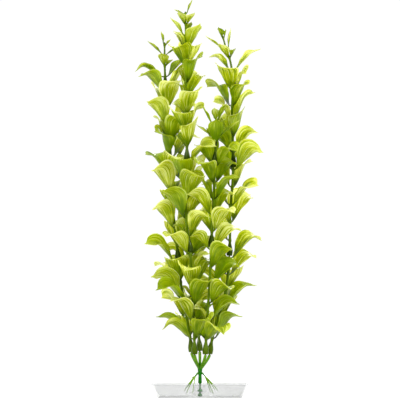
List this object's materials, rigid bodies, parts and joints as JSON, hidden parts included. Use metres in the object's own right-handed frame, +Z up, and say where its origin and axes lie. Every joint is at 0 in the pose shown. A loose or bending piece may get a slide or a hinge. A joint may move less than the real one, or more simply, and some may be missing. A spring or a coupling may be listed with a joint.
{
  "type": "artificial aquarium plant",
  "caption": "Plastic aquarium plant: leafy snap-together stems on a green root crown, which is pegged into a clear square tray for gravel.",
  "frame": {"origin": "middle of the tray's underside, which is what the plant stands on", "axes": "+Z up along the stems, +X to the right and -Y to the front as the picture shows it"},
  "size_m": [0.123, 0.093, 0.3796],
  "materials": {
    "leaf_green": "thin translucent yellow-green plastic, darker on stems",
    "crown_green": "saturated green plastic",
    "clear_plastic": "clear polished plastic"
  },
  "bodies": {
    "root": {"base_tray": "clear_plastic", "root_crown": "crown_green", "left_stem_section_1": "leaf_green", "left_stem_section_2": "leaf_green", "left_stem_section_3": "leaf_green", "left_stem_section_4": "leaf_green", "front_left_stem_section_1": "leaf_green", "front_left_stem_section_2": "leaf_green", "front_left_stem_section_3": "leaf_green", "front_left_stem_section_4": "leaf_green", "front_right_stem_section_1": "leaf_green", "front_right_stem_section_2": "leaf_green", "front_right_stem_section_3": "leaf_green", "right_stem_section_1": "leaf_green", "right_stem_section_2": "leaf_green", "right_stem_section_3": "leaf_green", "right_stem_section_4": "leaf_green", "back_stem_section_1": "leaf_green", "back_stem_section_2": "leaf_green", "back_stem_section_3": "leaf_green"}
  },
  "joints": []
}
